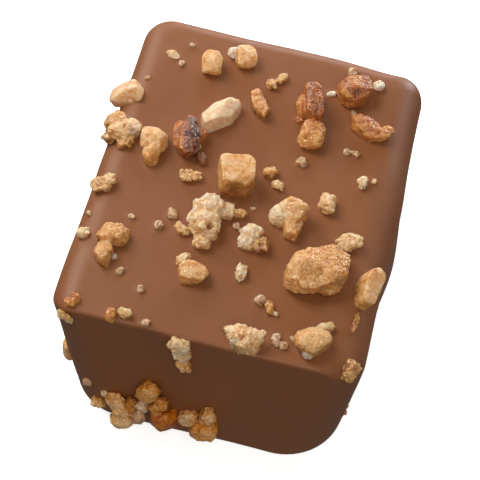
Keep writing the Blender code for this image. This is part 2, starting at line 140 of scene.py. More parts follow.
def blockLevels():
    # rings from the base up: insets and heights of the four sides, and the corner radii
    levels = []
    kept = block["cornerKept"]
    for step in range(block["edgeSteps"] + 1):
        angle = math.radians(90.0 * step / block["edgeSteps"])
        edgeInset = block["baseEdge"] * (1.0 - math.sin(angle))
        height = block["baseEdge"] * (1.0 - math.cos(angle))
        insets = [side + edgeInset for side in block["baseInset"]]
        levels.append((insets, [height] * 4, [corner - edgeInset for corner in block["baseCorner"]]))
    for step in range(1, block["wallSteps"] + 1):
        share = step / block["wallSteps"]
        insets = [side * (1.0 - share) for side in block["baseInset"]]
        heights = [block["baseEdge"] + (block["height"] - rim - block["baseEdge"]) * share
                   for rim in block["rimRadius"]]
        corners = [base + (top - base) * share
                   for base, top in zip(block["baseCorner"], block["topCorner"])]
        levels.append((insets, heights, corners))
    for step in range(1, block["rimSteps"] + 1):
        angle = math.radians(90.0 * step / block["rimSteps"])
        insets = [rim * (1.0 - math.cos(angle)) for rim in block["rimRadius"]]
        heights = [block["height"] - rim * (1.0 - math.sin(angle)) for rim in block["rimRadius"]]
        corners = [top * (1.0 - (1.0 - kept) * step / block["rimSteps"]) for top in block["topCorner"]]
        levels.append((insets, heights, corners))
    halfSizes = (block["width"] / 2, block["depth"] / 2) * 2
    for step in range(1, block["topSteps"] + 1):
        share = block["topRingReach"] * step / block["topSteps"]
        insets = [rim + (half - rim) * share for rim, half in zip(block["rimRadius"], halfSizes)]
        corners = [top * kept * (1.0 - share) for top in block["topCorner"]]
        levels.append((insets, [block["height"]] * 4, corners))
    return levels


def ringPoint(level, step):
    # each quarter of a ring is a rounded corner and then the side after it
    insets, heights, corners = level
    cornerSteps, sideSteps = block["cornerSteps"], block["sideSteps"]
    quarter, rest = divmod(step, cornerSteps + sideSteps)
    following = (quarter + 1) % 4
    right, back = block["width"] / 2 - insets[0], block["depth"] / 2 - insets[1]
    left, front = -block["width"] / 2 + insets[2], -block["depth"] / 2 + insets[3]
    centres = ((right - corners[0], back - corners[0]), (left + corners[1], back - corners[1]),
               (left + corners[2], front + corners[2]), (right - corners[3], front + corners[3]))
    share = min(rest / cornerSteps, 1.0)
    angle = math.radians(90.0 * (quarter + share))
    x = centres[quarter][0] + corners[quarter] * math.cos(angle)
    y = centres[quarter][1] + corners[quarter] * math.sin(angle)
    blend = smoothStep(0.0, 1.0, share ** block["rimChange"][quarter])
    height = heights[quarter] * (1.0 - blend) + heights[following] * blend
    if rest > cornerSteps:
        along = (rest - cornerSteps) / sideSteps
        endAngle = math.radians(90.0 * (quarter + 1))
        x += (centres[following][0] + corners[following] * math.cos(endAngle) - x) * along
        y += (centres[following][1] + corners[following] * math.sin(endAngle) - y) * along
    return Vector((x, y, height))


def coatingWave(point):
    # it dies out at the flat underside
    outward = (point - Vector((0.0, 0.0, block["height"] / 2))).normalized()
    unevenness = block["wave"] * noise.noise(point / block["waveLength"])
    unevenness += block["ripple"] * noise.noise(point / block["rippleLength"])
    wave = outward * unevenness
    for middle, reach, height in block["swells"]:
        swellOut = Vector((middle[0], middle[1], 0.0)).normalized()
        wave += swellOut * height * math.exp(-((point - Vector(middle)).length / reach) ** 2)
    return wave * min(point.z / block["baseEdge"], 1.0)


def makeCoating():
    # a sheet rolled into rings, closed along its seam and at its two ends
    levels = blockLevels()
    around = 4 * (block["cornerSteps"] + block["sideSteps"])
    up = len(levels) - 1
    coating = bmesh.new()
    bmesh.ops.create_grid(coating, x_segments=around, y_segments=up, size=1.0)
    for vertex in coating.verts:
        step = round((vertex.co.x + 1.0) / 2.0 * around)
        level = round((vertex.co.y + 1.0) / 2.0 * up)
        point = ringPoint(levels[level], step % around)
        vertex.co = point + coatingWave(point)
    bmesh.ops.remove_doubles(coating, verts=coating.verts, dist=block["seamGap"])
    openEdges = [edge for edge in coating.edges if edge.is_boundary]
    bmesh.ops.holes_fill(coating, edges=openEdges, sides=0)
    bmesh.ops.recalc_face_normals(coating, faces=coating.faces)
    return coating


# How each kind is broken, as in the solids: blockiness (2 is a ball), unevenness, flat cuts, cut depth
kinds = {
    "almond": (3.4, 0.10, 4, 0.46),
    "roasted": (3.0, 0.14, 3, 0.46),
    "caramel": (2.8, 0.18, 4, 0.43),
    "cluster": (2.5, 0.24, 2, 0.44),
    "crystal": (3.0, 0.12, 4, 0.42),
}

# Pieces whose cut faces show plainly are carved instead, on the first of their lumps: blockiness,
# unevenness, and each cut as its direction round, its direction up and its distance from the middle in mm.
carved = {
    "squareChunk": (8.0, 0.03, ((91, 0, 1.50), (28, 0, 1.50), (-5, 0, 1.25), (-52, 0, 1.50),
                                (-97, 0, 1.50), (-176, 0, 1.68), (0, 90, 1.38), (-70, 50, 1.75))),
    "longSliver": (5.0, 0.05, ((104, 0, 1.15), (62, 0, 1.35), (-36, 0, 1.95), (-66, 15, 1.05),
                               (-98, 10, 0.80), (-156, 0, 1.90), (155, 0, 1.65), (100, 55, 0.95),
                               (-60, 60, 0.85))),
    "rimAlmond": (4.5, 0.04, ((110, 10, 0.90), (-75, 25, 0.85), (175, 0, 1.50), (30, 0, 1.42))),
    "rightRimSliver": (6.0, 0.04, ((83, 0, 0.95), (47, 0, 1.40), (-21, 0, 1.90), (-72, 0, 1.05),
                                   (-92, 0, 0.72), (-167, 0, 1.90), (135, 0, 1.50), (105, 0, 0.90))),
    "longSkin": (5.0, 0.05, ((15, 0, 1.80), (-38, 0, 1.60), (-91, 0, 0.70), (-149, 0, 1.80),
                             (132, 0, 1.55), (88, 0, 0.80))),
    "goldenSliver": (4.5, 0.06, ((17, 0, 1.38), (-80, 0, 0.60), (-137, 0, 1.05), (121, 0, 0.98),
                                 (77, 0, 0.72), (-90, 45, 0.60))),
}

# Toppings on the top and its rims. A lump is its place across and along, how far its middle stands off
# the coating, its length, width and height in mm, its turn in degrees, and its tone, where 0 is the
# palest and 1 the most toasted of its kind.
topToppings = {
    "almond": {
        "rimAlmond": [(-12.4, 6.5, 0.4, 3.3, 2.0, 1.5, 0, 0.38)],
        "taperedAlmond": [(-8.9, 1.4, 0.7, 2.5, 2.3, 2.0, 0, 0.45),
                          (-8.7, 0.2, 0.5, 2.5, 1.5, 1.7, 80, 0.62)],
        "longSliver": [(-4.1, 5.7, 0.6, 4.8, 2.8, 1.8, 50, 0.25)],
        "blondNugget": [(-6.1, 11.3, 0.6, 2.4, 2.0, 1.7, 95, 0.52)],
        "paleNugget": [(-3.4, 12.9, 0.6, 2.4, 2.0, 1.6, 110, 0.50)],
        "flatFlake": [(-9.8, 11.7, 0.1, 1.4, 0.9, 0.5, 160, 0.35)],
        "squareChunk": [(-0.9, -0.8, 1.2, 3.6, 3.2, 2.9, 15, 0.50),
                        (-0.5, -1.6, 0.7, 2.3, 1.2, 1.9, 35, 0.95)],
        "rightRimSliver": [(11.6, -8.0, 0.6, 4.1, 2.2, 1.9, 80, 0.53)],
    },
    "roasted": {
        "darkSkin": [(-6.1, 2.4, 0.9, 4.1, 1.8, 2.1, 102, 0.62), (-5.6, 2.2, 0.9, 3.5, 1.3, 1.9, 100, 1.00),
                     (-6.8, 2.5, 0.6, 3.2, 1.3, 1.7, 102, 0.38),
                     (-5.2, 2.9, 0.6, 1.8, 1.1, 1.3, 75, 0.30)],
        "longSkin": [(3.6, 9.3, 0.9, 3.9, 1.7, 2.0, 107, 0.60), (2.6, 9.0, 0.5, 2.5, 1.0, 1.4, 105, 0.34),
                     (2.8, 7.7, 0.1, 1.1, 0.8, 0.7, 15, 0.55)],
        "tailedNut": [(8.4, 8.4, 0.5, 2.8, 1.8, 1.6, 164, 0.45), (9.7, 7.9, 0.4, 2.3, 1.5, 1.3, 10, 0.35),
                      (10.4, 8.4, 0.4, 1.6, 1.1, 1.0, 55, 0.30)],
        "goldPebble": [(4.1, 6.0, 0.6, 2.8, 2.3, 1.9, 85, 0.26)],
        "pittedNugget": [(6.9, 11.9, 0.8, 3.2, 2.9, 2.4, 30, 0.44)],
        "amberCup": [(-11.1, -15.9, 0.2, 1.4, 1.1, 0.9, 60, 0.32)],
        "amberCone": [(-7.8, -16.5, 0.2, 1.3, 0.9, 0.9, 95, 0.30)],
    },
    "caramel": {
        "goldenSliver": [(-1.0, 8.1, 0.4, 3.3, 1.6, 1.3, 122, 0.66)],
        "darkBit": [(-4.4, 0.8, 0.3, 1.3, 1.0, 0.9, 130, 0.95)],
        "goldBit": [(1.5, 1.2, 0.3, 1.4, 1.1, 1.0, 40, 0.60)],
        "orangePair": [(-9.6, -9.1, 0.6, 2.7, 2.0, 1.7, 10, 0.56),
                       (-9.9, -11.1, 0.5, 2.3, 1.6, 1.5, 95, 0.52)],
        "knobbedCrumb": [(-2.4, -10.9, 0.5, 2.7, 2.0, 1.6, 5, 0.50),
                         (-3.5, -9.7, 0.4, 1.6, 0.8, 0.9, 55, 0.20)],
        "thinGold": [(4.4, -12.2, 0.2, 1.4, 0.8, 0.7, 110, 0.60)],
        "hornedCrumb": [(8.5, -14.7, 0.7, 2.9, 2.4, 2.0, 20, 0.46),
                        (9.1, -13.0, 0.4, 1.8, 0.9, 0.9, 35, 0.25)],
        "kidney": [(6.6, -8.7, 0.9, 3.9, 3.7, 2.7, 30, 0.44), (8.4, -7.7, 1.0, 4.4, 3.2, 2.6, 85, 0.70),
                   (7.3, -7.8, 0.9, 4.2, 3.4, 2.6, 40, 0.66)],
        "roughCrumb": [(4.2, -2.8, 0.9, 2.6, 2.5, 2.3, 60, 0.54), (3.3, -3.3, 0.7, 2.0, 1.8, 1.8, 0, -0.12),
                       (4.6, -4.2, 0.6, 2.0, 1.6, 1.6, 80, 0.55)],
        "rimStreak": [(11.4, -11.4, 0.1, 2.3, 0.6, 0.6, 85, 0.70)],
    },
    "cluster": {
        "rimCluster": [(-12.3, 2.9, 0.5, 2.4, 2.1, 1.8, 0, 0.60), (-11.2, 2.0, 0.5, 2.2, 2.1, 1.7, 90, 0.32),
                       (-12.4, 1.5, 0.4, 1.9, 1.6, 1.3, 0, 0.66), (-11.3, 0.7, 0.3, 1.5, 1.4, 1.1, 0, 0.68),
                       (-11.8, 1.7, 0.6, 2.1, 2.0, 1.6, 0, 0.44)],
        "bigCluster": [(-2.6, -4.4, 0.8, 2.9, 2.3, 2.1, 10, 0.18), (-2.5, -6.1, 0.8, 3.0, 2.6, 2.1, 80, 0.36),
                       (-2.4, -7.6, 0.5, 1.7, 1.5, 1.3, 0, 0.34), (-4.4, -6.8, 0.3, 1.5, 1.0, 0.9, 150, 0.45),
                       (-1.2, -4.1, 0.6, 1.8, 1.5, 1.4, 0, 0.25), (0.1, -3.9, 0.3, 1.2, 0.9, 0.8, 0, 0.55),
                       (-3.6, -5.5, 0.5, 1.5, 1.3, 1.2, 90, 0.22)],
        "middleCluster": [(1.4, -5.7, 0.6, 1.9, 1.7, 1.6, 60, 0.18),
                          (2.4, -6.5, 0.4, 1.8, 1.5, 1.2, 100, 0.80),
                          (1.2, -6.7, 0.4, 1.7, 1.4, 1.3, 0, 0.12)],
        "backPair": [(0.2, 11.7, 0.3, 1.6, 0.9, 0.8, 55, 0.42), (-0.5, 10.8, 0.3, 1.2, 1.0, 0.8, 110, 0.58)],
        "rightPair": [(9.4, 2.4, 0.3, 1.3, 0.9, 0.8, 90, 0.20), (10.3, 2.9, 0.2, 0.8, 0.5, 0.5, 70, 0.30)],
        "paleTail": [(2.4, 0.0, 0.3, 1.3, 0.9, 0.7, 150, 0.35)],
        "leftCrumb": [(-5.0, -1.2, 0.3, 2.1, 1.2, 0.9, 10, 0.55)],
        "rightCrumb": [(6.9, -0.8, 0.5, 2.1, 1.5, 1.3, 95, 0.40)],
        "bumpyCrumb": [(9.5, -4.2, 0.5, 2.2, 1.8, 1.3, 30, 0.44)],
        "toppedCrumb": [(3.1, -15.7, 1.0, 3.1, 1.6, 1.1, 0, 0.40), (3.3, -16.4, 0.5, 2.3, 1.7, 1.7, 0, 0.50)],
        "leftRimCrumb": [(-11.8, -4.0, 0.4, 2.3, 1.7, 1.2, 20, 0.50)],
        "narrowCrumb": [(1.4, -9.6, 0.3, 1.6, 1.0, 0.9, 95, 0.20)],
        "leftRimFlat": [(-12.0, -9.2, 0.3, 1.3, 1.1, 0.9, 0, 0.25)],
        "frontCrumb": [(-6.8, -16.1, 0.3, 1.3, 1.1, 0.8, 0, 0.35)],
        "rightRimCrumb": [(11.7, -15.7, 0.3, 2.0, 1.5, 1.2, 80, 0.60)],
    },
    "crystal": {
        "smallPale": [(3.9, 3.1, 0.2, 1.1, 1.0, 0.8, 0, 0.50)],
        "whiteSliver": [(4.9, 11.5, 0.1, 1.0, 0.5, 0.4, 15, 0.10)],
        "whiteBit": [(8.8, 13.5, 0.3, 1.2, 1.0, 0.9, 50, 0.10)],
        "quartz": [(-4.5, 13.3, 0.6, 1.3, 1.0, 0.9, 60, 0.05)],
        "glassBead": [(-5.4, 1.9, 0.3, 1.4, 1.1, 1.0, 60, 0.35)],
        "rimGlass": [(-10.8, 1.8, 0.9, 1.4, 1.1, 1.0, 30, 0.40)],
        "frontBead": [(2.5, -16.5, 0.8, 0.9, 0.8, 0.8, 0, 0.35)],
        "hornBead": [(8.3, -15.8, 0.5, 1.0, 0.8, 0.8, 0, 0.20)],
    },
}
# small crumbs on the top: place across, place along and size
topCrumbs = {
    "places": [
        (6.2, 14.4, 0.9), (7.4, 5.4, 0.7), (8.2, 5.4, 0.8), (-0.1, -5.1, 0.7), (-5.5, -5.4, 0.9),
        (-6.3, -6.9, 0.9), (-8.2, -12.2, 0.8), (-6.1, -13.4, 0.7), (3.5, -11.7, 1.0), (5.6, -15.2, 0.8),
        (6.3, -15.4, 0.8), (-4.9, -16.3, 0.7),
    ],
    "tone": 0.50,
}
# On the front wall a lump is its place across and its height above the base, then the same as above.
frontToppings = {
    "caramel": {
        "tallGold": [(-4.1, 7.6, 0.5, 2.9, 2.1, 1.5, 80, 0.55)],
        "amberSide": [(-2.9, 6.0, 0.4, 1.7, 1.4, 1.2, 100, 0.70)],
        "amberWedge": [(-3.4, 5.2, 0.6, 1.8, 1.2, 1.2, 90, 0.65)],
        "footGold": [(-5.5, 4.5, 0.5, 2.2, 1.0, 1.3, 90, 0.70)],
        "footPeach": [(-6.2, 2.1, 0.8, 2.3, 1.8, 1.6, 30, 0.30)],
        "rightFoot": [(1.2, 3.6, 0.7, 2.5, 2.2, 2.0, 90, 0.50), (0.3, 3.3, 0.7, 2.2, 1.0, 1.6, 90, 0.55)],
    },
    "roasted": {
        "footSkin": [(-2.6, 3.7, 0.7, 2.9, 2.6, 2.2, 90, 0.40)],
    },
    "cluster": {
        "cornerCrumb": [(-11.4, 16.5, 0.3, 1.6, 0.9, 0.8, 160, 0.40)],
        "stack": [(-1.9, 16.6, 0.4, 2.0, 1.6, 1.3, 0, 0.30), (-1.5, 15.0, 0.4, 1.9, 1.7, 1.2, 90, 0.26),
                  (-1.3, 13.3, 0.3, 1.6, 1.2, 1.0, 0, 0.46)],
        "footTan": [(-7.0, 4.6, 0.4, 2.0, 1.8, 1.2, 70, 0.50), (-6.3, 3.5, 0.6, 2.4, 2.0, 1.6, 110, 0.40)],
        "footPale": [(-8.5, 2.5, 0.2, 1.5, 1.2, 1.0, 0, 0.40)],
        "middleFoot": [(-0.5, 4.4, 0.4, 2.4, 1.9, 1.5, 90, 0.38), (1.2, 5.5, 0.4, 2.4, 1.6, 1.4, 90, 0.50)],
    },
    "crystal": {
        "footGrey": [(-4.8, 2.9, 0.6, 2.2, 1.3, 1.4, 90, 0.45)],
        "wallGrey": [(-4.6, 4.7, 0.4, 1.4, 1.2, 1.2, 0, 0.35)],
        "footWhite": [(-8.0, 4.6, 0.1, 1.0, 0.8, 0.6, 60, 0.30)],
        "leftWhite": [(-9.6, 5.2, 0.1, 1.2, 0.9, 0.6, 90, 0.40)],
    },
}
# on the left wall: place along it, towards the front, and height above the base
leftToppings = {
    "almond": {
        "wallSliver": [(13.0, 4.6, 0.3, 2.6, 1.2, 1.1, 95, 0.36)],
    },
}
# The sides that the photo hides get a like share of pieces, most of them at the foot.
scatter = {
    "seed": 11,
    "counts": {"right": 3, "back": 9, "left": 7},
    "size": (0.9, 2.2),       # mm
    "footHeight": 5.0,        # mm, up to where a piece counts as at the foot
    "footShare": {"right": 1.0, "back": 0.7, "left": 0.7},
    "baseGap": 1.0,           # mm, kept free above the base
    "rimGap": 3.0,            # mm, kept free below the top
    "margin": 5.0,            # mm, kept free at both ends of a wall
    "spread": (0.2, 0.8),     # where in its own stretch of the wall a piece may be
    "kinds": ("caramel", "cluster", "almond", "crystal"),
    "tone": 0.5,
}
# crumbs that are too fine for the solids, on the top as in the photo and by chance at the hidden feet
fineCrumbs = {
    "top": [
        (-8.4, 13.3, 0.5), (-8.8, 10.9, 0.6), (-11.3, 8.5, 0.5), (7.2, 9.9, 0.6), (0.5, -5.4, 0.6),
        (0.9, -2.9, 0.5), (-8.7, -6.6, 0.6), (-12.2, -6.9, 0.6), (-9.1, -10.9, 0.6), (5.0, -12.6, 0.5),
        (5.5, -14.8, 0.7), (6.8, -14.5, 0.5),
    ],
    "seed": 5,
    "hiddenCount": 8,         # on each hidden side
    "hiddenSize": (0.35, 0.65),
    "hiddenHeight": (0.8, 4.5),
    "tone": 0.45,
}
# how a lump is made
lumpShape = {
    "ball": 0.5,              # radius of the ball that it starts from
    "fineness": 4,
    "unevenScale": 3.0,       # higher for finer bumps on the ball
    "patch": 9.0,             # how far off the stretch of noise lies that shapes it
    "wallCut": 0.05,          # how much deeper the facets of a piece on a wall go
    "footClearance": 0.3,     # mm, no lump comes lower than this
    "sampleEvery": 3,         # every third of its points hands its tone on to the skin
}
# a small crumb's length, width and height, and how far it stands off, as shares of its size or height
crumbShape = {"length": (1.0, 1.25), "width": (0.8, 1.0), "height": (0.65, 0.85), "out": 0.25}


def wallAxes(wall):
    # the directions across, along and out of a wall
    axes = {
        "top": ((1, 0, 0), (0, 1, 0), (0, 0, 1)),
        "front": ((1, 0, 0), (0, 0, 1), (0, -1, 0)),
        "back": ((-1, 0, 0), (0, 0, 1), (0, 1, 0)),
        "left": ((0, -1, 0), (0, 0, 1), (-1, 0, 0)),
        "right": ((0, 1, 0), (0, 0, 1), (1, 0, 0)),
    }
    return [Vector(axis) for axis in axes[wall]]


def restingPlace(coatingTree, wall, across, along):
    # where a line from well outside meets the coating, with the third axis off its surface
    acrossAxis, alongAxis, outAxis = wallAxes(wall)
    start = acrossAxis * across + alongAxis * along + outAxis * block["depth"]
    point, normal, _, _ = coatingTree.ray_cast(start, -outAxis)
    upright = Matrix((acrossAxis, alongAxis, outAxis)).transposed()
    lean = outAxis.rotation_difference(normal).to_matrix()
    return Matrix.Translation(point) @ (lean @ upright).to_4x4()


def cutNormal(direction, rise):
    bearing, up = math.radians(direction), math.radians(rise)
    return Vector((math.cos(bearing) * math.cos(up), math.sin(bearing) * math.cos(up), math.sin(up)))


def cutBall(vertices, normal, depth):
    # what lies beyond a plane is pressed flat onto it
    for vertex in vertices:
        beyond = vertex.co.dot(normal) - depth
        if beyond > 0.0:
            vertex.co -= normal * beyond


def addLump(heap, coatingTree, kind, name, wall, lump):
    # a broken piece: a ball made uneven, cut flat on a few sides, stretched and put in place
    across, along, out, length, width, height, turn = lump[:7]
    blockiness, unevenness, cuts, cutDepth = kinds[kind]
    facets, deep, shallow = reliefs[kind]["facets"]
    planes = ()
    if name in carved:
        blockiness, unevenness, planes = carved[name]
        cuts = facets = 0
    draw = random.Random(f"{across:.1f} {along:.1f}")
    ball = bmesh.ops.create_icosphere(heap, subdivisions=lumpShape["fineness"], radius=lumpShape["ball"])
    patch = Vector([draw.uniform(-lumpShape["patch"], lumpShape["patch"]) for _ in range(3)])
    for vertex in ball["verts"]:
        reach = sum(abs(part / lumpShape["ball"]) ** blockiness for part in vertex.co) ** (1.0 / blockiness)
        vertex.co *= (1.0 + unevenness * noise.noise(vertex.co * lumpShape["unevenScale"] + patch)) / reach
    for _ in range(cuts):
        cutBall(ball["verts"], Vector([draw.gauss(0.0, 1.0) for _ in range(3)]).normalized(), cutDepth)
    deeper = 0.0 if wall == "top" else lumpShape["wallCut"]
    for _ in range(facets):
        normal = Vector([draw.gauss(0.0, 1.0) for _ in range(3)]).normalized()
        cutBall(ball["verts"], normal, draw.uniform(deep, shallow) - deeper)
    bmesh.ops.transform(heap, matrix=Matrix.Diagonal((length, width, height, 1.0)), verts=ball["verts"])
    for direction, rise, distance in planes:
        cutBall(ball["verts"], cutNormal(direction, rise), distance)
    turned = Matrix.Translation((0.0, 0.0, out)) @ Matrix.Rotation(math.radians(turn), 4, "Z")
    place = restingPlace(coatingTree, wall, across, along) @ turned
    bmesh.ops.transform(heap, matrix=place, verts=ball["verts"])
    for vertex in ball["verts"]:
        vertex.co.z = max(vertex.co.z, lumpShape["footClearance"])
    return ball["verts"]


def crumbLump(across, along, size, draw, tone):
    length, width, height = (size * draw.uniform(*crumbShape[side]) for side in ("length", "width", "height"))
    turn = draw.uniform(0.0, 180.0)
    return (across, along, crumbShape["out"] * height, length, width, height, turn, tone)


def listedLumps():
    # only the first lump of a piece has its name, because only that one may be carved
    found = []
    for wall, toppings in (("top", topToppings), ("front", frontToppings), ("left", leftToppings)):
        for kind, pieces in toppings.items():
            for name, lumps in pieces.items():
                found.append((kind, name, wall, lumps[0]))
                found.extend((kind, "", wall, lump) for lump in lumps[1:])
    return found


def drawnLumps():
    draw = random.Random(scatter["seed"])
    found = [("crystal", "", "top", crumbLump(*crumb, draw, topCrumbs["tone"]))
             for crumb in topCrumbs["places"]]
    for wall, count in scatter["counts"].items():
        span = (block["width"] if wall == "back" else block["depth"]) - 2 * scatter["margin"]
        for index in range(count):
            across = span * ((index + draw.uniform(*scatter["spread"])) / count - 0.5)
            atFoot = draw.random() < scatter["footShare"][wall]
            top = scatter["footHeight"] if atFoot else block["height"] - scatter["rimGap"]
            size = draw.uniform(*scatter["size"])
            height = draw.uniform(scatter["baseGap"] + size / 2, top)
            kind = draw.choice(scatter["kinds"])
            found.append((kind, "", wall, crumbLump(across, height, size, draw, scatter["tone"])))
    return found


def fineLumps():
    draw = random.Random(fineCrumbs["seed"])
    found = [("crystal", "", "top", crumbLump(*crumb, draw, fineCrumbs["tone"]))
             for crumb in fineCrumbs["top"]]
    for wall in scatter["counts"]:
        span = (block["width"] if wall == "back" else block["depth"]) / 2 - scatter["margin"]
        for _ in range(fineCrumbs["hiddenCount"]):
            across, height = draw.uniform(-span, span), draw.uniform(*fineCrumbs["hiddenHeight"])
            size = draw.uniform(*fineCrumbs["hiddenSize"])
            found.append(("crystal", "", wall, crumbLump(across, height, size, draw, fineCrumbs["tone"])))
    return found


# How the surface of each kind looks close up, all sizes in mm. Facets are extra flat cuts, as many as the
# first number, at a depth between the other two, where 0.5 is the lump's own half size. The rest are pairs of
# size and height: swell is slow unevenness, beads are rounded lumps with cracks between them, and grain is
# the crust of sugar grains. Pits also have the share of the noise above which they open. Shade is painted on:
# a piece is darker by contactShadeTone where it meets the coating, fading out at contactShadeHeight, and
# darker by sideShadeTone where it faces sideways. It is paler by topTone all over.
reliefs = {
    "almond": {"voxel": 0.070, "smoothing": 1, "facets": (9, 0.42, 0.52), "swell": (0.9, 0.05),
               "bead": (0.8, 0.00), "grain": (0.40, 0.012), "pit": (0.7, 0.06, 0.46),
               "contactShadeHeight": 1.2, "contactShadeTone": 0.05, "sideShadeTone": 0.07, "topTone": 0.07},
    "roasted": {"voxel": 0.065, "smoothing": 1, "facets": (9, 0.42, 0.52), "swell": (0.8, 0.06),
                "bead": (0.6, 0.01), "grain": (0.34, 0.025), "pit": (0.6, 0.05, 0.42),
                "contactShadeHeight": 1.2, "contactShadeTone": 0.05, "sideShadeTone": 0.00, "topTone": 0.02},
    "caramel": {"voxel": 0.0675, "smoothing": 1, "facets": (3, 0.44, 0.52), "swell": (1.1, 0.09),
                "bead": (0.9, 0.05), "grain": (0.26, 0.050), "pit": (0.7, 0.06, 0.62),
                "contactShadeHeight": 1.2, "contactShadeTone": 0.14, "sideShadeTone": 0.14, "topTone": 0.11},
    "cluster": {"voxel": 0.070, "smoothing": 1, "facets": (7, 0.42, 0.53), "swell": (0.9, 0.10),
                "bead": (0.70, 0.12), "grain": (0.26, 0.045), "pit": (0.9, 0.18, 0.44),
                "contactShadeHeight": 1.0, "contactShadeTone": 0.12, "sideShadeTone": 0.11, "topTone": 0.10},
    "crystal": {"voxel": 0.060, "smoothing": 1, "facets": (8, 0.38, 0.52), "swell": (0.6, 0.06),
                "bead": (0.4, 0.00), "grain": (0.26, 0.020), "pit": (0.7, 0.05, 0.40),
                "contactShadeHeight": 0.6, "contactShadeTone": 0.10, "sideShadeTone": 0.05, "topTone": 0.06},
}


# what the reliefs of all kinds share
reliefRule = {
    "swellWaves": (0.9, 2.1, 3),      # how fast finer waves fade, how much finer each is, and how many
    "crackWidth": 0.5,                # as a share of a bead
    "beadLevel": 0.7,                 # where between crack and bead the skin stays in its place
    "grainTop": 0.5,
    "grainFall": 2.0,                 # how steeply a grain falls off to its sides
    "pitEdge": 0.2,
    "middle": 0.5,                    # the height kept for the material, and what each pattern adds to it
    "swellShare": 0.3,
    "beadShare": 0.3,
    "grainShare": 0.25,
    "sideFacing": (0.3, 0.9),         # from facing sideways to facing off the coating
    "toneSamples": 16,                # lump points that a skin point takes its tone from
}
# the slow noise that bends the patterns, in mm, and the places that it is read at for the three axes
bend = {
    "length": 0.5,
    "reach": 0.25,
    "patches": ((0.0, 0.0, 0.0), (7.3, 1.9, 4.1), (2.7, 8.5, 6.3)),
}


# hollows, in mm, whose ground is darker with painted shade: the amber pocket in the big cluster, the inside
# of the little cup, and the dimple of the pitted nugget
hollows = {
    "cluster": [{"middle": (-2.04, -6.67, 19.0), "reach": 0.30, "depth": 0.5, "tone": 0.8}],
    "roasted": [{"middle": (-11.29, -15.85, 17.4), "reach": 0.36, "depth": 0.6, "tone": 0.45},
                {"middle": (6.97, 11.0, 19.0), "reach": 0.50, "depth": 0.12, "tone": 0.26}],
}


def remeshed(heap, voxel, smoothing):
    # the overlapping lumps of a kind become closed skins of even faces
    data = bpy.data.meshes.new("lumps")
    heap.to_mesh(data)
    heap.free()
    holder = bpy.data.objects.new("lumps", data)
    bpy.context.scene.collection.objects.link(holder)
    remesh = holder.modifiers.new("evenFaces", "REMESH")
    remesh.mode = "VOXEL"
    remesh.voxel_size = voxel
    even = bpy.data.meshes.new_from_object(holder.evaluated_get(bpy.context.evaluated_depsgraph_get()))
    bpy.data.objects.remove(holder, do_unlink=True)
    bpy.data.meshes.remove(data)
    skin = bmesh.new()
    skin.from_mesh(even)
    bpy.data.meshes.remove(even)
    for _ in range(smoothing):
        bmesh.ops.smooth_vert(skin, verts=skin.verts, factor=0.5,
                              use_axis_x=True, use_axis_y=True, use_axis_z=True)
    return skin


def bentPlace(point):
    # a place shifted a little by slow noise, so that the patterns drawn there run crooked
    slow = point / bend["length"]
    shift = [noise.noise(slow + Vector(patch)) for patch in bend["patches"]]
    return point + bend["reach"] * Vector(shift)


def addRelief(skin, kind, samples, coatingTree):
    # moves the skin in and out, and keeps for the material how high each point is and how toasted, with
    # painted shade added where it meets the coating, faces sideways or lies in a hollow
    look, rule = reliefs[kind], reliefRule
    tree = KDTree(len(samples))
    for index, (point, _) in enumerate(samples):
        tree.insert(point, index)
    tree.balance()
    toneLayer = skin.verts.layers.float.new("tone")
    reliefLayer = skin.verts.layers.float.new("relief")
    skin.normal_update()
    for vertex in skin.verts:
        point = vertex.co.copy()
        warped = bentPlace(point)
        near, second = noise.voronoi(warped / look["bead"][0])[0][:2]
        bead = smoothStep(0.0, rule["crackWidth"], second - near) - rule["beadLevel"]
        swell = noise.fractal(point / look["swell"][0], *rule["swellWaves"])
        offGrain = noise.voronoi(warped / look["grain"][0])[0][0]
        grain = rule["grainTop"] - rule["grainFall"] * offGrain ** 2
        pitSize, pitDepth, pitFrom = look["pit"]
        pit = smoothStep(pitFrom, pitFrom + rule["pitEdge"], noise.noise(warped / pitSize + point))
        out = look["swell"][1] * swell + look["bead"][1] * bead + look["grain"][1] * grain
        vertex.co += vertex.normal * (out - pitDepth * pit)
        height = rule["middle"] + rule["swellShare"] * swell + rule["beadShare"] * bead
        vertex[reliefLayer] = (height + rule["grainShare"] * grain) * (1.0 - pit)
        found = tree.find_n(point, rule["toneSamples"])
        tone = sum(samples[index][1] for _, index, _ in found) / len(found)
        # painted shade: darker where the piece meets the coating and where it faces sideways
        _, outward, _, distance = coatingTree.find_nearest(point)
        low = 1.0 - smoothStep(0.0, look["contactShadeHeight"], distance)
        side = 1.0 - smoothStep(*rule["sideFacing"], vertex.normal.dot(outward))
        tone += look["contactShadeTone"] * low + look["sideShadeTone"] * side - look["topTone"]
        # painted shade: the ground of each hollow is made darker
        for hollow in hollows.get(kind, ()):
            share = math.exp(-((point - Vector(hollow["middle"])).length / hollow["reach"]) ** 2)
            vertex.co -= outward * hollow["depth"] * share
            tone += hollow["tone"] * share
        vertex[toneLayer] = tone


def makeToppings(coatingTree):
    # a lump's chance is drawn from its place, as in the solids, so that it keeps its form
    lumps = listedLumps() + drawnLumps() + fineLumps()
    skins = {}
    for kind in kinds:
        heap = bmesh.new()
        samples = []
        for lumpKind, name, wall, lump in lumps:
            if lumpKind != kind:
                continue
            vertices = addLump(heap, coatingTree, kind, name, wall, lump)
            kept = vertices[::lumpShape["sampleEvery"]]
            samples.extend((vertex.co.copy(), lump[7]) for vertex in kept)
        skin = remeshed(heap, reliefs[kind]["voxel"], reliefs[kind]["smoothing"])
        addRelief(skin, kind, samples, coatingTree)
        skins[kind] = skin
        print(f"{kind}: {len(skin.faces)} faces")
    return skins


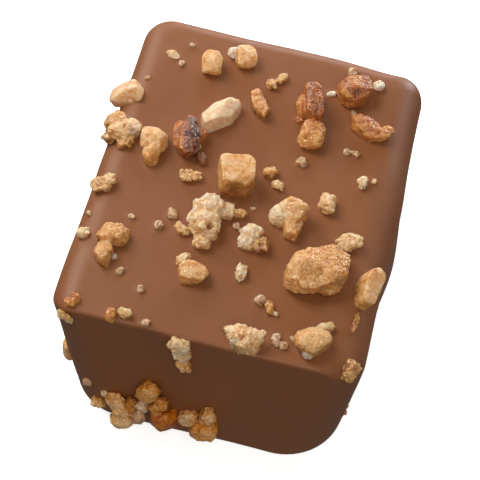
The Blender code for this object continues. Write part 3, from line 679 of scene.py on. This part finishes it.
def addMeniscus(coating, skins):
    # the chocolate set while the toppings stood in it, so it creeps up a little where they meet
    coating.normal_update()
    trees = [BVHTree.FromBMesh(skin) for skin in skins.values()]
    farthest = block["meniscusSearch"] * block["meniscusReach"]
    lifted = []
    for vertex in coating.verts:
        distances = [tree.find_nearest(vertex.co, farthest)[3] for tree in trees]
        distances = [distance for distance in distances if distance is not None]
        if distances:
            lift = block["meniscus"] * math.exp(-(min(distances) / block["meniscusReach"]) ** 2)
            lifted.append((vertex, vertex.normal * lift))
    for vertex, lift in lifted:
        vertex.co += lift


# Milk chocolate, tempered and poured over the filling: a closed fatty skin with a soft satin gloss
chocolateLook = {
    "colours": ((0.30, "#8d542c"), (0.70, "#945a31")),
    "cloud": 7.0,              # mm, slow change of colour
    "cloudSpan": (0.3, 0.7),   # the part of that noise which the roughness follows
    "roughness": (0.44, 0.54),
    "dimple": 1.6,             # mm, soft unevenness under the gloss
    "dimpleHeight": 0.010,
    "grain": 0.16,             # mm, matt grain of the fat, coarser than real, which is too fine to show
    "grainHeight": 0.0012,
    "bending": 1.47,           # of light in cocoa butter
    "softness": 0.15,          # share of the light that goes in
    "depth": 0.5,              # mm, how far it travels there
    "lightReach": (1.0, 0.45, 0.25),     # shares of that depth for red, green and blue light
}


def makeChocolate():
    look = chocolateLook
    material, tree, shader, place = startMaterial("temperedMilkChocolate")
    cloud = addNode(tree, "ShaderNodeTexNoise", inputs={"Scale": perMm(look["cloud"]), "Detail": 2.0},
                    links={"Vector": place})
    colour = addNode(tree, "ShaderNodeValToRGB", links={"Fac": cloud.outputs["Fac"]})
    fillRamp(colour, look["colours"])
    tree.links.new(colour.outputs["Color"], shader.inputs["Base Color"])
    gloss = addNode(tree, "ShaderNodeMapRange",
                    inputs={"From Min": look["cloudSpan"][0], "From Max": look["cloudSpan"][1],
                            "To Min": look["roughness"][0], "To Max": look["roughness"][1]},
                    links={"Value": cloud.outputs["Fac"]})
    tree.links.new(gloss.outputs["Result"], shader.inputs["Roughness"])
    dimples = addNode(tree, "ShaderNodeTexNoise", inputs={"Scale": perMm(look["dimple"]), "Detail": 1.0},
                      links={"Vector": place})
    soft = addNode(tree, "ShaderNodeBump", inputs={"Strength": 1.0, "Distance": look["dimpleHeight"] * mm},
                   links={"Height": dimples.outputs["Fac"]})
    grain = addNode(tree, "ShaderNodeTexNoise", inputs={"Scale": perMm(look["grain"]), "Detail": 2.0},
                    links={"Vector": place})
    fine = addNode(tree, "ShaderNodeBump", inputs={"Strength": 1.0, "Distance": look["grainHeight"] * mm},
                   links={"Height": grain.outputs["Fac"], "Normal": soft.outputs["Normal"]})
    tree.links.new(fine.outputs["Normal"], shader.inputs["Normal"])
    shader.inputs["IOR"].default_value = look["bending"]
    shader.inputs["Subsurface Weight"].default_value = look["softness"]
    shader.inputs["Subsurface Radius"].default_value = look["lightReach"]
    shader.inputs["Subsurface Scale"].default_value = look["depth"] * mm
    return material


# What the five kinds of topping are made of, and what that gives the eye. Sizes are in mm. Slow blotches
# vary the tone of a piece, and the sugar grains give it its speckle and its broken glints. Real grains are
# about 0.1 mm, too fine to show, so these are twice as coarse. The tones are shares of the colours' range,
# and crackShadeTone is how much browner the cracks are painted, as painted shade. Roughness goes from the
# cracks to the heights, and sparkle is how much it differs from grain to grain. Softness is the share of the
# light that goes in, depth is how far it travels there, and coat is the clear film of melted sugar.
toppingLooks = {
    # blanched almond, chopped and lightly roasted: cream to straw, silky cut faces, with painted shade in its
    # cracks
    "almond": {
        "material": "choppedBlanchedAlmond", "piece": "blanchedAlmonds", "slot": "blanched_almond",
        "colours": ((0.0, "#f6e3c2"), (0.35, "#eec9a0"), (0.65, "#dca15a"), (1.0, "#9c6030")),
        "blotch": 0.9, "blotchTone": 0.24, "grainTone": 0.14, "crackShadeTone": 0.18,
        "roughness": (0.52, 0.36), "grain": 0.24, "grainHeight": 0.018, "softness": 0.7, "depth": 1.0,
        "coat": 0.10, "sparkle": 0.06,
    },
    # almond roasted in its skin: golden where broken, amber to dark brown and glossy on the skin
    "roasted": {
        "material": "roastedAlmondSkin", "piece": "roastedAlmonds", "slot": "roasted_almond",
        "colours": ((0.0, "#f0c994"), (0.30, "#dd9c50"), (0.60, "#b3652a"), (1.0, "#4e2412")),
        "blotch": 1.2, "blotchTone": 0.34, "grainTone": 0.10, "crackShadeTone": 0.20,
        "roughness": (0.50, 0.34), "grain": 0.20, "grainHeight": 0.060, "softness": 0.6, "depth": 0.7,
        "coat": 0.50, "sparkle": 0.16,
    },
    # almond crumb turned in caramel: golden and grainy with sugar, with a dull sparkle
    "caramel": {
        "material": "caramelisedAlmondCrumb", "piece": "caramelCrumbs", "slot": "caramel_crumb",
        "colours": ((0.0, "#f4dab0"), (0.35, "#e8b97e"), (0.70, "#d3924c"), (1.0, "#8a5730")),
        "blotch": 0.9, "blotchTone": 0.20, "grainTone": 0.14, "crackShadeTone": 0.18,
        "roughness": (0.52, 0.34), "grain": 0.20, "grainHeight": 0.070, "softness": 0.7, "depth": 0.9,
        "coat": 0.40, "sparkle": 0.18,
    },
    # crumbs of nut and sugar baked together: pale beads with cracks and holes between them, the cracks
    # browner with painted shade
    "cluster": {
        "material": "bakedPralineCrumb", "piece": "pralineCrumbs", "slot": "praline_crumb",
        "colours": ((0.0, "#f7dfc8"), (0.35, "#edc694"), (0.70, "#d49c5c"), (1.0, "#8c5428")),
        "blotch": 0.8, "blotchTone": 0.22, "grainTone": 0.14, "crackShadeTone": 0.26,
        "roughness": (0.50, 0.32), "grain": 0.20, "grainHeight": 0.055, "softness": 0.7, "depth": 0.9,
        "coat": 0.40, "sparkle": 0.15,
    },
    # bits of rock sugar: milky, warm white to tan, with flat broken faces
    "crystal": {
        "material": "milkyRockSugar", "piece": "sugarCrystals", "slot": "sugar_crystal",
        "colours": ((0.0, "#f6ead8"), (0.35, "#e0be98"), (0.70, "#bc8f66"), (1.0, "#80563a")),
        "blotch": 0.7, "blotchTone": 0.35, "grainTone": 0.20, "crackShadeTone": 0.25,
        "roughness": (0.35, 0.20), "grain": 0.24, "grainHeight": 0.030, "softness": 0.8, "depth": 1.0,
        "coat": 0.45, "sparkle": 0.12,
    },
}


# painted light: the pieces on the walls, from just under the rim down, are painted brighter and more amber,
# in place of the light bounced up from the table and passed through them, which the lamps here don't give
# them
paintedWallLight = {
    "from": 17.2,              # mm, the height where it starts
    "full": 15.0,              # and where it is complete
    "hue": 0.493,              # below 0.5 turns the yellow towards amber
    "saturation": 1.10,
    "brightness": 1.15,
    "softness": 0.35,          # as a share: less light goes into the wall pieces, so that their painted colour stays warm
}
# what the surfaces of all toppings share; the spans are the parts of a pattern that a value follows
toppingSurface = {
    "noiseSpan": (0.25, 0.75),
    "toneSpan": (0.1, 0.9),
    "glossSpan": (0.2, 0.9),
    "heightShare": 3,          # painted light: the heights get paler by the cracks' painted shade divided by this
    "bending": 1.47,           # of light in sugar and nut fat
    "lightReach": (1.0, 0.72, 0.46),     # shares of the depth for red, green and blue light
    "coatRoughness": 0.14,
}


def makeToppingMaterial(look):
    surface = toppingSurface
    material, tree, shader, place = startMaterial(look["material"])
    tone = addNode(tree, "ShaderNodeAttribute", {"attribute_name": "tone"}).outputs["Fac"]
    relief = addNode(tree, "ShaderNodeAttribute", {"attribute_name": "relief"}).outputs["Fac"]
    toastAndShade = tone
    noiseLow, noiseHigh = surface["noiseSpan"]
    toneLow, toneHigh = surface["toneSpan"]
    glossLow, glossHigh = surface["glossSpan"]
    cloud = addNode(tree, "ShaderNodeTexNoise", inputs={"Scale": perMm(look["blotch"]), "Detail": 2.0},
                    links={"Vector": place})
    sugar = addNode(tree, "ShaderNodeTexVoronoi", {"feature": "F1"}, inputs={"Scale": perMm(look["grain"])},
                    links={"Vector": place})
    # each sugar grain has a tone of its own
    for source, share in ((cloud.outputs["Fac"], "blotchTone"), (sugar.outputs["Color"], "grainTone")):
        spread = addNode(tree, "ShaderNodeMapRange", {"clamp": False},
                         inputs={"From Min": noiseLow, "From Max": noiseHigh,
                                 "To Min": -look[share] / 2, "To Max": look[share] / 2},
                         links={"Value": source})
        toastAndShade = addNode(tree, "ShaderNodeMath", {"operation": "ADD"},
                          links={0: toastAndShade, 1: spread.outputs["Result"]}).outputs[0]
    # painted shade in the cracks and painted light on the heights
    height = addNode(tree, "ShaderNodeMapRange",
                     inputs={"From Min": toneLow, "From Max": toneHigh, "To Min": look["crackShadeTone"],
                             "To Max": -look["crackShadeTone"] / surface["heightShare"]},
                     links={"Value": relief})
    toastAndShade = addNode(tree, "ShaderNodeMath", {"operation": "ADD"},
                      links={0: toastAndShade, 1: height.outputs["Result"]}).outputs[0]
    colour = addNode(tree, "ShaderNodeValToRGB", links={"Fac": toastAndShade})
    fillRamp(colour, look["colours"])
    up = addNode(tree, "ShaderNodeSeparateXYZ", links={"Vector": place}).outputs["Z"]
    # painted light: this share grows down the walls, and there the pieces are painted brighter and more amber
    paintedLightShare = addNode(tree, "ShaderNodeMapRange",
                   inputs={"From Min": paintedWallLight["from"] * mm, "From Max": paintedWallLight["full"] * mm},
                   links={"Value": up})
    litUpColour = addNode(tree, "ShaderNodeHueSaturation",
                    inputs={"Hue": paintedWallLight["hue"], "Saturation": paintedWallLight["saturation"],
                            "Value": paintedWallLight["brightness"]},
                    links={"Fac": paintedLightShare.outputs["Result"], "Color": colour.outputs["Color"]})
    tree.links.new(litUpColour.outputs["Color"], shader.inputs["Base Color"])
    gloss = addNode(tree, "ShaderNodeMapRange",
                    inputs={"From Min": glossLow, "From Max": glossHigh,
                            "To Min": look["roughness"][0], "To Max": look["roughness"][1]},
                    links={"Value": relief})
    # one grain catches the light and the next doesn't
    glint = addNode(tree, "ShaderNodeMapRange",
                    inputs={"From Min": noiseLow, "From Max": noiseHigh,
                            "To Min": -look["sparkle"], "To Max": look["sparkle"]},
                    links={"Value": sugar.outputs["Color"]})
    uneven = addNode(tree, "ShaderNodeMath", {"operation": "ADD"},
                     links={0: gloss.outputs["Result"], 1: glint.outputs["Result"]})
    tree.links.new(uneven.outputs[0], shader.inputs["Roughness"])
    bump = addNode(tree, "ShaderNodeBump", {"invert": True},
                   inputs={"Strength": 1.0, "Distance": look["grainHeight"] * mm},
                   links={"Height": sugar.outputs["Distance"]})
    tree.links.new(bump.outputs["Normal"], shader.inputs["Normal"])
    tree.links.new(bump.outputs["Normal"], shader.inputs["Coat Normal"])
    shader.inputs["IOR"].default_value = surface["bending"]
    soft = addNode(tree, "ShaderNodeMapRange",
                   inputs={"To Min": look["softness"], "To Max": look["softness"] * paintedWallLight["softness"]},
                   links={"Value": paintedLightShare.outputs["Result"]})
    tree.links.new(soft.outputs["Result"], shader.inputs["Subsurface Weight"])
    shader.inputs["Subsurface Radius"].default_value = surface["lightReach"]
    shader.inputs["Subsurface Scale"].default_value = look["depth"] * mm
    shader.inputs["Coat Weight"].default_value = look["coat"]
    shader.inputs["Coat Roughness"].default_value = surface["coatRoughness"]
    return material


# The studio: a pale floor, a soft light above on the left, a broad fill in front on the right, and four soft
# lights behind that draw the sheens along the rims and walls. All of them face the middle of the floor.
studio = {
    "floorHalf": 1.5,            # m
    "floorColour": "#f4f3f1",
    "floorRoughness": 0.9,
    "floorGlow": 0.75,           # lit from below as a light table is, so that shadows on it stay pale
    "worldStrength": 0.14,
    "worldColour": "#ffffff",
    "lights": {
        # name: (place in m, size in m, power in W)
        "softKey": ((-0.135, 0.050, 0.170), 0.13, 0.30),
        "frontFill": ((0.11, -0.42, 0.56), 0.50, 1.90),
        "leftSheen": ((-0.185, 0.190, 0.095), 0.12, 0.17),
        "backSheen": ((-0.020, 0.310, 0.085), 0.13, 0.30),
        "cornerSheen": ((0.150, 0.285, 0.048), 0.09, 0.35),
        "rightSheen": ((0.32, 0.23, 0.056), 0.10, 0.02),
    },
}
# the camera as it was fitted to the photo, for an image of 480 x 480 pixels
cameraSetting = {
    "yaw": -5.78,                # these three in degrees
    "pitch": 55.0,
    "roll": 8.84,
    "distance": 150.7,           # mm, to the target
    "targetHeight": 8.32,        # mm
    "nearest": 0.01,             # m, nothing closer than this is drawn
    "focalPixels": 1674.0,
    "imagePixels": 480.0,
    "sensorWidth": 36.0,         # mm
    "shiftPixels": (-0.76, 0.35),
}


def makeStudio():
    scene = bpy.context.scene
    scene.view_settings.view_transform = "Standard"
    material, _, shader, _ = startMaterial("matteFloorPaper")
    shader.inputs["Base Color"].default_value = linearColour(studio["floorColour"])
    shader.inputs["Roughness"].default_value = studio["floorRoughness"]
    shader.inputs["Emission Color"].default_value = linearColour(studio["floorColour"])
    shader.inputs["Emission Strength"].default_value = studio["floorGlow"]
    sheet = bmesh.new()
    bmesh.ops.create_grid(sheet, x_segments=1, y_segments=1, size=studio["floorHalf"])
    data = bpy.data.meshes.new("studioFloor")
    sheet.to_mesh(data)
    sheet.free()
    data.materials.append(material)
    floor = bpy.data.objects.new("studioFloor", data)
    scene.collection.objects.link(floor)
    floor.visible_diffuse = False        # its white doesn't light up the walls, which are dark in the photo
    floor.visible_glossy = False
    world = bpy.data.worlds.new("studioWorld")
    world.use_nodes = True
    background = world.node_tree.nodes["Background"]
    background.inputs["Color"].default_value = linearColour(studio["worldColour"])
    background.inputs["Strength"].default_value = studio["worldStrength"]
    scene.world = world
    for name, (place, size, power) in studio["lights"].items():
        lamp = bpy.data.lights.new(name, "AREA")
        lamp.shape = "SQUARE"
        lamp.size = size
        lamp.energy = power
        holder = bpy.data.objects.new(name, lamp)
        holder.location = place
        holder.rotation_euler = (-Vector(place)).to_track_quat("-Z", "Y").to_euler()
        holder.visible_camera = False
        scene.collection.objects.link(holder)


def makeCamera():
    setting = cameraSetting
    yaw, pitch, roll = (math.radians(setting[angle]) for angle in ("yaw", "pitch", "roll"))
    forward = Vector((math.sin(yaw) * math.cos(pitch), math.cos(yaw) * math.cos(pitch), -math.sin(pitch)))
    right = Vector((math.cos(yaw), -math.sin(yaw), 0.0))
    up = right.cross(forward)
    rolledRight = right * math.cos(roll) + up * math.sin(roll)
    rolledUp = up * math.cos(roll) - right * math.sin(roll)
    camera = bpy.data.cameras.new("photoCamera")
    camera.sensor_width = setting["sensorWidth"]
    camera.lens = setting["focalPixels"] / setting["imagePixels"] * setting["sensorWidth"]
    camera.shift_x = setting["shiftPixels"][0] / setting["imagePixels"]
    camera.shift_y = setting["shiftPixels"][1] / setting["imagePixels"]
    camera.clip_start = setting["nearest"]
    holder = bpy.data.objects.new("photoCamera", camera)
    turned = Matrix((rolledRight, rolledUp, -forward)).transposed().to_4x4()
    target = Vector((0.0, 0.0, setting["targetHeight"] * mm))
    turned.translation = target - forward * setting["distance"] * mm
    holder.matrix_world = turned
    bpy.context.scene.collection.objects.link(holder)
    bpy.context.scene.camera = holder


makeCamera()
makeStudio()
print("studio and camera are set")
coating = makeCoating()
print("the coating is poured")
skins = makeToppings(BVHTree.FromBMesh(coating))
addMeniscus(coating, skins)
print("the coating is drawn up round its toppings")
finishPiece("chocolateCoating", coating, makeChocolate())
for kind, skin in skins.items():
    look = toppingLooks[kind]
    finishPiece(look["piece"], skin, makeToppingMaterial(look))
